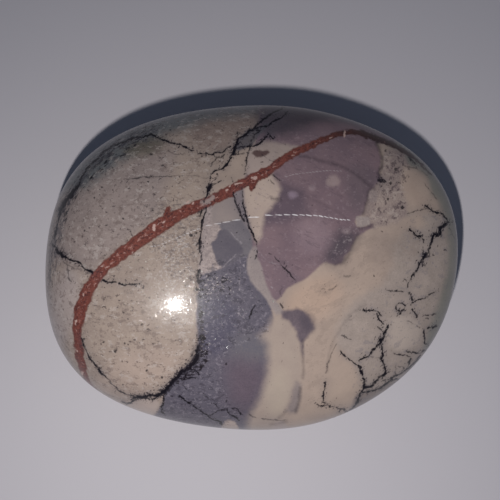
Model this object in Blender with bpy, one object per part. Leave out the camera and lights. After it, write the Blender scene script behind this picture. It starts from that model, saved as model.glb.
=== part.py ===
"""A porcelain jasper tumbled stone: one solid domed pebble with a lobed outline and a flat rest spot.

Runs in Blender 4.5. Metres, +Z up. The origin is on the surface the stone rests on, under the middle
of its bounding box, with the longest side along X.
"""

from math import atan2, cos, hypot, pi, radians, sin, sqrt

import bmesh
import bpy
from mathutils import Vector

MM = 0.001

# Driving dimensions, in millimetres
LENGTH = 45.0
WIDTH = 35.3
CROWN_RISE = 10.0
BELLY_DROP = 8.5
FLAT_DEPTH = 0.25

# Fullness of each profile: 2 is an ellipse, and more is blunter at the girth and flatter on top
CROWN_FULLNESS = 2.15
BELLY_FULLNESS = 2.1

# The crown's highest point leans off the middle, and the lean eases in with this power of the height
CROWN_LEAN = (-6.5, -1.0)
LEAN_EASE = 2.4

# Tumbling left the girth slightly lobed: lobes around it, share of the radius, direction in degrees
GIRTH_FULLNESS = 1.019
GIRTH_LOBES = (
    (2, 0.0170, 65),
    (3, 0.0085, 85),
    (4, 0.0195, 155),
    (5, 0.0075, 15),
    (6, 0.0080, 175),
    (8, 0.0025, 190),
)

# Cuts across each side of the cube that the pebble is rounded from
CUTS = 23

COLLECTION = "tumbled_stone"
STONE_COLOUR = (0.30, 0.26, 0.27, 1.0)
STONE_ROUGHNESS = 0.2


def clear_scene():
    """Remove every object that the scene opens with."""
    for obj in list(bpy.data.objects):
        bpy.data.objects.remove(obj, do_unlink=True)


def new_collection(name):
    """Make a collection and link it to the scene."""
    collection = bpy.data.collections.new(name)
    bpy.context.scene.collection.children.link(collection)
    return collection


def polished_stone(name):
    """The plain polished-stone material."""
    material = bpy.data.materials.new(name)
    material.use_nodes = True
    shader = material.node_tree.nodes["Principled BSDF"]
    shader.inputs["Base Color"].default_value = STONE_COLOUR
    shader.inputs["Roughness"].default_value = STONE_ROUGHNESS
    shader.inputs["Metallic"].default_value = 0.0
    return material


def girth_radius(angle):
    """Radius of the outline seen from above, at an angle from +X."""
    ellipse = 1.0 / sqrt((2.0 * cos(angle) / LENGTH) ** 2 + (2.0 * sin(angle) / WIDTH) ** 2)
    lobes = sum(
        share * cos(count * angle - radians(direction))
        for count, share, direction in GIRTH_LOBES
    )
    return ellipse * (GIRTH_FULLNESS + lobes)


def evened(point):
    """A point on the unit cube turned to a direction, with the cells kept about the same size."""
    return Vector([sin(side * pi / 4.0) / cos(side * pi / 4.0) for side in point]).normalized()


def pebble_point(direction):
    """The pebble's surface in this direction, in millimetres from the middle of its girth."""
    angle = atan2(direction.y, direction.x)
    slope = atan2(abs(direction.z), hypot(direction.x, direction.y))
    fullness = CROWN_FULLNESS if direction.z >= 0.0 else BELLY_FULLNESS
    inward = cos(slope) ** (2.0 / fullness)
    upward = sin(slope) ** (2.0 / fullness)
    radius = girth_radius(angle) * inward
    point = Vector((radius * cos(angle), radius * sin(angle), 0.0))
    if direction.z >= 0.0:
        point.x += CROWN_LEAN[0] * upward**LEAN_EASE
        point.y += CROWN_LEAN[1] * upward**LEAN_EASE
        point.z = CROWN_RISE * upward
    else:
        point.z = -BELLY_DROP * upward
    return point


def pebble_mesh(name):
    """A cube primitive, cut into a grid and rounded to the pebble, with the rest spot pressed flat."""
    form = bmesh.new()
    bmesh.ops.create_cube(form, size=2.0)
    bmesh.ops.subdivide_edges(form, edges=form.edges[:], cuts=CUTS, use_grid_fill=True)
    for vert in form.verts:
        vert.co = pebble_point(evened(vert.co))
        vert.co.z = max(vert.co.z, FLAT_DEPTH - BELLY_DROP)
    low = Vector([min(vert.co[axis] for vert in form.verts) for axis in range(3)])
    high = Vector([max(vert.co[axis] for vert in form.verts) for axis in range(3)])
    foot = Vector(((low.x + high.x) / 2.0, (low.y + high.y) / 2.0, low.z))
    for vert in form.verts:
        vert.co = (vert.co - foot) * MM
    bmesh.ops.recalc_face_normals(form, faces=form.faces[:])
    mesh = bpy.data.meshes.new(name)
    form.to_mesh(mesh)
    form.free()
    mesh.shade_smooth()
    return mesh


def make_stone(collection):
    """The one piece: the whole stone."""
    stone = bpy.data.objects.new("stone", pebble_mesh("stone"))
    stone.data.materials.append(polished_stone("polished_jasper"))
    collection.objects.link(stone)
    return stone


clear_scene()
make_stone(new_collection(COLLECTION))
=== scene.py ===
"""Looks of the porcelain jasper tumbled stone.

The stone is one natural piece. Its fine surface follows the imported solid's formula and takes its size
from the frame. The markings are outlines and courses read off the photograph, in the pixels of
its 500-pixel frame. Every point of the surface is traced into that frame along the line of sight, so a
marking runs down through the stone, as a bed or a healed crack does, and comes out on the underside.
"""

import logging
from collections.abc import Iterator
from dataclasses import dataclass
from enum import Enum
from math import cos, pi, radians, sin
from statistics import NormalDist

import bmesh
import bpy
import numpy as np
from mathutils import Matrix, Vector


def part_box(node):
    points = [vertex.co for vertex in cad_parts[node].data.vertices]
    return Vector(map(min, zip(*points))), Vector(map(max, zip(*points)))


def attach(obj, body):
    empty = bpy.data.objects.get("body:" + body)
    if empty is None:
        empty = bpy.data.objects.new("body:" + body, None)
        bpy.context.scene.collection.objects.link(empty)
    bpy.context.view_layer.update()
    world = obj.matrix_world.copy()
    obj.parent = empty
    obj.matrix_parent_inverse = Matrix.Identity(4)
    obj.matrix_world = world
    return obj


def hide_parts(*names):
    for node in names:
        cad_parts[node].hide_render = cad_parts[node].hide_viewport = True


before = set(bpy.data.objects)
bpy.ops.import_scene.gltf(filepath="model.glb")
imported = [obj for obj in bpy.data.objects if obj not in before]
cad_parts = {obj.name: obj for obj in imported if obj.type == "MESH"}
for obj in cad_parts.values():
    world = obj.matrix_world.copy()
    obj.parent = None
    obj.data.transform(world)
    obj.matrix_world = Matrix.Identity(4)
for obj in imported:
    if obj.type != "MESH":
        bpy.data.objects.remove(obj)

log = logging.getLogger("tumbled_stone")

MM = 0.001
FRAME_PX = 500.0
OVAL_POINTS = 12

# Keeps a division by a length from being one by zero
TINY = 1e-9

Point = tuple[float, ...]
Route = tuple[Point, ...]
Socket = bpy.types.NodeSocket
Colour = Socket | tuple[float, ...]


def linear(code: str) -> tuple[float, float, float, float]:
    """Turn an sRGB hex code to linear colour.

    Args:
        code: The colour as "#rrggbb".

    Returns:
        Red, green, blue and an alpha of 1, linear.
    """
    channels = [int(code[place : place + 2], 16) / 255.0 for place in (1, 3, 5)]
    red, green, blue = [c / 12.92 if c <= 0.04045 else ((c + 0.055) / 1.055) ** 2.4 for c in channels]
    return red, green, blue, 1.0


def add(
    tree: bpy.types.NodeTree,
    kind: str,
    inputs: dict[str | int, object] | None = None,
    **settings: object,
) -> bpy.types.Node:
    """Add a node with its settings and links.

    Args:
        tree: The node tree it goes in.
        kind: The node's type, without the leading "ShaderNode".
        inputs: What goes in each input, a socket to link or a value to set.
        **settings: The node's own properties.

    Returns:
        The new node.
    """
    node = tree.nodes.new("ShaderNode" + kind)
    for name, value in settings.items():
        setattr(node, name, value)
    for name, value in (inputs or {}).items():
        if isinstance(value, Socket):
            tree.links.new(value, node.inputs[name])
        else:
            node.inputs[name].default_value = value
    return node


def oval(across: float, down: float, width: float, height: float, turn: float = 0.0) -> Route:
    """Outline a soft-cornered spot.

    Args:
        across: Its middle, in pixels from the left.
        down: Its middle, in pixels from the top.
        width: Its width in pixels.
        height: Its height in pixels.
        turn: How far it is turned, in degrees.

    Returns:
        The outline's points.
    """
    lean = radians(turn)
    points = []
    for step in range(OVAL_POINTS):
        angle = 2.0 * pi * step / OVAL_POINTS
        x, y = width / 2.0 * cos(angle), height / 2.0 * sin(angle)
        points.append((across + x * cos(lean) - y * sin(lean), down + x * sin(lean) + y * cos(lean)))
    return tuple(points)


def facing(place: Point, target: Point) -> tuple[Vector, Vector, Vector]:
    """Work out the directions of something that stands at a place and faces a target.

    Args:
        place: Where it stands.
        target: What it faces.

    Returns:
        Its right, its up, which is towards +Y, and away from it to the target.
    """
    away = (Vector(target) - Vector(place)).normalized()
    right = away.cross(Vector((0.0, 1.0, 0.0))).normalized()
    return right, right.cross(away), away


def stand(obj: bpy.types.Object, place: Point, target: Point) -> None:
    """Stand a camera or a lamp in the scene and face it to a target.

    Args:
        obj: The camera or the lamp.
        place: Where it stands, in millimetres.
        target: What it faces, in millimetres.
    """
    right, up, away = facing(place, target)
    turn = Matrix((right, up, -away)).transposed().to_4x4()
    obj.matrix_world = Matrix.Translation(Vector(place) * MM) @ turn
    bpy.context.scene.collection.objects.link(obj)


class Mottle(Enum):
    """What varies the colour inside a patch.

    Each is the size of its lumps in millimetres, their detail and the finest grain's share.
    """

    CLOUD = (4.5, 4.0, 0.22)
    BLOTCH = (1.3, 4.0, 0.45)
    GRIT = (0.42, 3.0, 0.5)


@dataclass(frozen=True)
class Bed:
    """A patch of the rock with a colour of its own; the rim patches also hold painted shade. Its outline,
    fade and wander are in pixels.
    """

    name: str
    light: str
    dark: str
    outline: Route
    fade: float = 1.6
    wander: float = 5.0
    mottle: Mottle = Mottle.CLOUD
    cover: float = 1.0


@dataclass(frozen=True)
class Course:
    """A thin marking along a route in pixels. A third number in a point is its width from there on."""

    route: Route
    width: float = 2.0
    ink: float = 1.0


@dataclass(frozen=True)
class GlintingScratch:
    """A scratch whose glint is painted in as raked near-white dashes, a painted highlight. Its dashes'
    lengths, width and rake are in pixels.
    """

    route: Route
    first: float
    last: float
    width: float
    ink: float = 1.0
    rake: float = 0.35
    filled: float = 0.84
    taper: float = 0.6

    def dashes(self) -> tuple[Course, ...]:
        """Break the route, which runs from left to right, into dashes.

        Returns:
            One course a dash.
        """
        xs, ys = zip(*self.route)
        made = []
        start = xs[0]
        while start < xs[-1]:
            length = self.first + (self.last - self.first) * (start - xs[0]) / (xs[-1] - xs[0])
            end = start + length * self.filled
            left, right = np.interp((start, end), xs, ys)
            tip = self.width * self.taper
            middle = ((start + end) / 2.0, (left + right) / 2.0, self.width)
            dash = ((start, left - self.rake, tip), middle, (end, right + self.rake, tip))
            made.append(Course(dash, ink=self.ink))
            start += length
        return tuple(made)


@dataclass(frozen=True)
class Drawing:
    """Courses that are drawn alike, with how jagged their paths are and how soft their edges, in pixels."""

    name: str
    colour: str
    courses: tuple[Course, ...]
    jag: float
    soft: float


@dataclass(frozen=True)
class Grains:
    """Grains of one mineral, or specks of painted glitter.

    Their length and width are in millimetres, their lie is in degrees from +X, and the share is how much
    of the rock they cover where they are.
    """

    colour: str
    size: tuple[float, float]
    share: float
    turn: float = 0.0
    strength: float = 1.0


@dataclass(frozen=True)
class Sprinkle:
    """Grains scattered through the part of the stone inside an outline, which fades over some pixels."""

    name: str
    outline: Route
    grains: Grains
    fade: float = 4.0


BEIGE_AREA = (
    (266, 60), (268, 112), (258, 122), (250, 130), (241, 137), (237, 143), (233, 153), (229, 162),
    (223, 169), (214, 171), (210, 178), (209, 186), (208, 192), (206, 197), (205, 212), (202, 225),
    (200, 240), (200, 260), (198, 275), (196, 300), (197, 355), (194, 362), (189, 368), (181, 371),
    (173, 381), (165, 390), (157, 395), (141, 398), (133, 400), (112, 402), (90, 412), (0, 560),
    (-100, 560), (-100, -60), (266, -60),
)

BEDS = (
    Bed(
        "grey_cream", "#b1a29a", "#978b84",
        ((398, 214), (424, 214), (425, 226), (404, 232), (393, 246), (392, 268), (382, 284), (360, 296),
         (345, 312), (336, 330), (338, 348), (352, 362), (361, 380), (360, 395), (350, 412), (345, 560),
         (600, 560), (600, 212)),
        fade=6.0, wander=12.0, mottle=Mottle.BLOTCH,
    ),
    Bed(
        "cream_cell", "#c0b1a7", "#ab9e97", oval(403, 333, 38, 36, 20),
        fade=4.0, wander=8.0, cover=0.8,
    ),
    Bed("warm_cream", "#c1a898", "#b39b8b", oval(314, 299, 62, 40, -30), fade=9.0, cover=0.8),
    Bed("cream_shade", "#8d807b", "#7c716d", oval(402, 245, 36, 24, 10), fade=10.0, wander=14.0, cover=0.3),
    Bed(
        "brown_rim_cell", "#92847d", "#7e736e",
        ((356, 394), (376, 388), (400, 379), (418, 358), (450, 372), (420, 440), (345, 440), (350, 412)),
        fade=2.0, wander=3.0,
    ),
    # A greenish-grey tint of the rock, with painted shade darkening it towards the right rim
    Bed(
        "green_rim_painted_shade", "#969088", "#828079",
        ((385, 140), (403, 165), (417, 169), (427, 176), (431, 193), (438, 200), (446, 219), (449, 245),
         (447, 275), (440, 300), (430, 325), (424, 350), (450, 370), (600, 330), (600, 60), (380, 60)),
        fade=4.0,
    ),
    Bed(
        "grainy_clay", "#b3a298", "#827273",
        ((376, 186), (382, 180), (380, 165), (384, 152), (392, 147), (404, 152), (409, 165), (404, 180),
         (408, 200), (407, 215), (398, 222), (384, 226), (372, 229), (364, 222), (366, 205), (369, 192)),
        fade=3.0, wander=8.0, mottle=Mottle.BLOTCH,
    ),
    Bed(
        "cream_lens", "#c0ac9e", "#ae9a8e",
        ((404, 166), (414, 170), (424, 178), (430, 192), (426, 204), (414, 208), (406, 200), (400, 185)),
        fade=4.0,
    ),
    Bed("beige_clay", "#a9998e", "#95867e", BEIGE_AREA, mottle=Mottle.BLOTCH),
    Bed("grey_left", "#b6a9a8", "#a29795", oval(65, 305, 30, 80, 8), fade=9.0, cover=0.65),
    Bed("light_beige", "#b8a59a", "#a39289", oval(140, 372, 92, 44, -20), fade=12.0, cover=0.8),
    Bed(
        "ochre_clay", "#94837c", "#7d6d67",
        ((196, 60), (262, 60), (264, 116), (252, 129), (241, 137), (236, 146), (222, 151), (205, 150),
         (190, 138)),
        fade=7.0, wander=8.0, mottle=Mottle.BLOTCH, cover=0.8,
    ),
    Bed(
        "grey_beige", "#9e918e", "#887c7a",
        ((40, 262), (58, 215), (80, 185), (112, 165), (150, 150), (176, 152), (166, 186), (160, 212),
         (145, 228), (120, 248), (95, 268), (60, 262)),
        fade=10.0, wander=10.0, mottle=Mottle.BLOTCH, cover=0.8,
    ),
    # A blue-grey tint of the rock, darkened by painted shade in the band inside the upper left rim
    Bed(
        "grey_rim_painted_shade", "#71777b", "#60676b",
        ((60, 60), (270, 60), (264, 112), (235, 116), (205, 120), (188, 128), (165, 134), (150, 144),
         (136, 152), (112, 168), (85, 188), (60, 194), (20, 180)),
        fade=8.0, wander=10.0, mottle=Mottle.BLOTCH, cover=0.85,
    ),
    # An olive patch of the rock, made darker as painted shade near the upper left rim
    Bed(
        "olive_patch_painted_shade", "#756e62", "#5c5851", oval(145, 147, 42, 17, -14),
        fade=6.0, wander=10.0, mottle=Mottle.BLOTCH, cover=0.9,
    ),
    Bed(
        "olive_clay", "#b3a195", "#98887f",
        ((234, 147), (247, 145), (247, 160), (245, 170), (240, 181), (222, 190), (214, 186), (217, 176),
         (226, 168), (231, 158)),
    ),
    Bed(
        "pink_grit", "#bdada8", "#857a7a",
        ((204, 204), (214, 203), (214, 220), (224, 222), (229, 231), (220, 242), (214, 246), (218, 256),
         (222, 266), (227, 272), (215, 276), (198, 276), (200, 250), (203, 225)),
        mottle=Mottle.GRIT,
    ),
    Bed(
        "grey_block", "#9d908b", "#8d8282",
        ((213, 204), (222, 199), (232, 195), (238, 199), (240, 208), (241, 219), (228, 224), (212, 224),
         (211, 214)),
        fade=2.5, wander=3.0,
    ),
    Bed(
        "slate", "#6b6570", "#57535f",
        ((197, 300), (199, 275), (216, 270), (224, 266), (236, 254), (240, 242), (254, 246), (256, 260),
         (256, 272), (258, 281), (263, 289), (268, 296), (271, 302), (272, 310), (274, 318), (273, 328),
         (276, 340), (278, 360), (275, 380), (270, 395), (262, 405), (256, 412), (252, 424), (250, 560),
         (60, 560), (146, 425), (156, 412), (163, 402), (165, 390), (173, 381), (181, 372), (189, 368),
         (195, 360), (197, 350), (198, 340), (196, 320)),
        fade=2.2, mottle=Mottle.GRIT,
    ),
    Bed(
        "blue_slate", "#5a5666", "#474456",
        ((200, 300), (226, 296), (236, 310), (236, 345), (215, 355), (199, 350)),
        fade=7.0, mottle=Mottle.GRIT, cover=0.8,
    ),
    Bed(
        "green_slate", "#746f72", "#63616d",
        ((230, 338), (250, 332), (266, 338), (268, 352), (262, 362), (245, 362), (232, 356)),
        fade=12.0, wander=8.0, mottle=Mottle.BLOTCH, cover=0.8,
    ),
    Bed(
        "warm_slate", "#6d5d68", "#5c4f59",
        ((226, 364), (240, 358), (262, 364), (268, 380), (262, 395), (255, 408), (240, 412), (228, 400)),
        fade=14.0, wander=12.0, mottle=Mottle.BLOTCH, cover=0.65,
    ),
    Bed(
        "slate_block", "#7c767b", "#6a656c",
        ((217, 223), (226, 222), (238, 219), (247, 219), (251, 231), (256, 243), (252, 254), (240, 258),
         (228, 250), (222, 240), (222, 231)),
        wander=3.0, mottle=Mottle.BLOTCH,
    ),
    Bed(
        "dark_slate_block", "#6c666e", "#5e5963",
        ((210, 243), (216, 239), (219, 230), (226, 229), (232, 236), (239, 243), (244, 250), (240, 258),
         (231, 264), (224, 268), (218, 265), (214, 254)),
        fade=1.4, wander=3.0, mottle=Mottle.BLOTCH,
    ),
    Bed(
        "pale_triangle", "#c5b3a8", "#af9f99",
        ((134, 401), (146, 398), (157, 400), (160, 406), (156, 412), (146, 422), (120, 430), (108, 408)),
        fade=2.5,
    ),
    Bed(
        "purple_clay", "#8a7479", "#73626b",
        ((262, 60), (440, 60), (420, 140), (392, 143), (376, 143), (379, 150), (381, 157), (381, 165),
         (379, 172), (380, 180), (374, 187), (369, 192), (367, 200), (365, 207), (363, 214), (357, 217),
         (355, 222), (357, 227), (366, 226), (373, 224), (372, 228), (362, 234), (357, 236), (354, 241),
         (351, 248), (348, 254), (344, 258), (342, 264), (335, 265), (325, 262), (321, 265), (315, 271),
         (308, 277), (301, 281), (293, 285), (286, 289), (283, 294), (279, 299), (275, 301), (266, 295),
         (260, 283), (257, 272), (254, 262), (252, 252), (253, 244), (252, 238), (250, 231), (248, 222),
         (245, 213), (243, 204), (242, 190), (250, 160), (258, 132)),
        wander=3.0,
    ),
    Bed("pink_clay", "#9c868c", "#86747c", oval(313, 236, 38, 36, 20), fade=10.0, cover=0.8),
    # A blue-grey tint over the purple clay, with painted shade darkening it along the upper rim
    Bed(
        "blue_purple_rim_painted_shade", "#534c52", "#454049",
        ((258, 60), (420, 60), (392, 122), (372, 125), (340, 120), (318, 123), (290, 134), (268, 138),
         (256, 130)),
        fade=8.0, wander=10.0, mottle=Mottle.BLOTCH, cover=0.9,
    ),
    Bed(
        "blue_purple_left", "#695b65", "#5c515c",
        ((258, 196), (285, 184), (304, 190), (308, 212), (285, 222), (258, 228)),
        fade=8.0, cover=0.8,
    ),
    Bed(
        "brown_purple_right", "#75666d", "#64585f",
        ((350, 165), (370, 166), (379, 178), (371, 196), (362, 216), (350, 208), (344, 185)),
        fade=8.0, cover=0.8,
    ),
    Bed(
        "dark_purple_end", "#544d55", "#464149",
        ((332, 242), (340, 230), (352, 230), (358, 234), (352, 248), (344, 260), (334, 264), (322, 260)),
        fade=9.0, wander=10.0, mottle=Mottle.BLOTCH, cover=0.8,
    ),
    Bed(
        "ivory_strip", "#c1afa3", "#af9d94",
        ((242, 186), (250, 180), (262, 173), (272, 174), (278, 182), (281, 190), (277, 200), (271, 208),
         (266, 214), (263, 222), (262, 234), (258, 243), (254, 238), (251, 231), (248, 222), (245, 213),
         (243, 204)),
        fade=3.5,
    ),
    Bed(
        "ivory_head", "#b4a39c", "#9d8e88",
        ((249, 150), (253, 146), (262, 141), (275, 142), (285, 144), (302, 147), (296, 153), (285, 158),
         (270, 168), (255, 175), (246, 175), (246, 168), (247, 158)),
        fade=3.0,
    ),
    Bed(
        "ivory_sliver", "#a19592", "#8c8181",
        ((253, 246), (257, 247), (257, 258), (260, 262), (263, 272), (266, 283), (270, 292), (273, 298),
         (279, 305), (284, 313), (276, 316), (270, 306), (266, 299), (262, 294), (255, 287), (250, 281),
         (247, 272), (247, 260), (250, 252)),
        wander=3.0, mottle=Mottle.BLOTCH,
    ),
    Bed(
        "ivory_lobe", "#ae9f94", "#9e8e87",
        ((260, 336), (268, 328), (274, 318), (277, 314), (284, 318), (292, 320), (297, 330), (301, 340),
         (302, 355), (303, 378), (297, 388), (291, 400), (285, 412), (280, 430), (270, 560), (240, 560),
         (248, 424), (252, 412), (257, 405), (262, 395), (267, 380), (268, 360), (268, 344)),
        fade=7.0,
    ),
    Bed("ivory_low", "#b6a89a", "#a7998f", oval(277, 392, 24, 46, 8), fade=8.0, cover=0.85),
    Bed(
        "strand_fill", "#92878a", "#7b7174",
        ((231, 190), (243, 184), (244, 204), (250, 224), (252, 234), (244, 224), (238, 212)),
        fade=2.0, mottle=Mottle.GRIT,
    ),
    Bed(
        "purple_wedge", "#796c73", "#5f555d",
        ((282, 311), (292, 310), (297, 308), (304, 311), (309, 317), (314, 328), (310, 334), (304, 341),
         (303, 356), (300, 344), (296, 332), (290, 322), (282, 318)),
        fade=2.5, mottle=Mottle.BLOTCH,
    ),
    Bed("wedge_shade", "#615862", "#4c454e", oval(307, 322, 14, 20, -25), fade=5.0, cover=0.75),
    Bed(
        "purple_tail", "#948885", "#7e7374",
        ((296, 382), (301, 385), (301, 395), (299, 405), (297, 413), (290, 414), (284, 412), (290, 402),
         (292, 390)),
        fade=3.5, mottle=Mottle.BLOTCH,
    ),
    Bed(
        "pale_flake", "#b3a5a0", "#938785",
        ((356, 217), (364, 216), (371, 218), (369, 225), (362, 227), (357, 226)),
        fade=1.2, mottle=Mottle.GRIT,
    ),
    Bed(
        "pale_grit", "#ad9d97", "#857878",
        ((370, 190), (378, 191), (377, 200), (371, 203), (368, 198)),
        fade=1.5, mottle=Mottle.GRIT,
    ),
    Bed("pale_eye", "#a38f8f", "#978585", oval(333, 181, 14, 12), fade=2.5),
    Bed("pale_spot_left", "#988794", "#857583", oval(293, 195, 9, 7), fade=2.5),
    Bed("pale_spot_mid", "#9b888c", "#8b7980", oval(312, 188, 6, 6), fade=2.0),
    Bed("pale_spot_low", "#978689", "#85767b", oval(346, 231, 9, 6), fade=2.0),
    Bed(
        "brown_spot", "#6a5654", "#55423f",
        ((252, 153), (256, 150), (262, 151), (268, 150), (270, 152), (266, 155), (261, 157), (257, 158)),
        fade=1.2,
    ),
    Bed(
        "dark_web", "#5f5c62", "#46454c",
        ((272, 122), (264, 130), (258, 138), (252, 146), (238, 151), (235, 146), (239, 138), (250, 129)),
        fade=1.5, mottle=Mottle.GRIT, cover=0.85,
    ),
    Bed("cream_foot_left", "#b9a89f", "#a6968f", oval(230, 431, 18, 22), fade=1.5),
    Bed("cream_foot_right", "#b5a59e", "#a2938e", oval(280, 431, 18, 21), fade=1.5),
)

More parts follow.
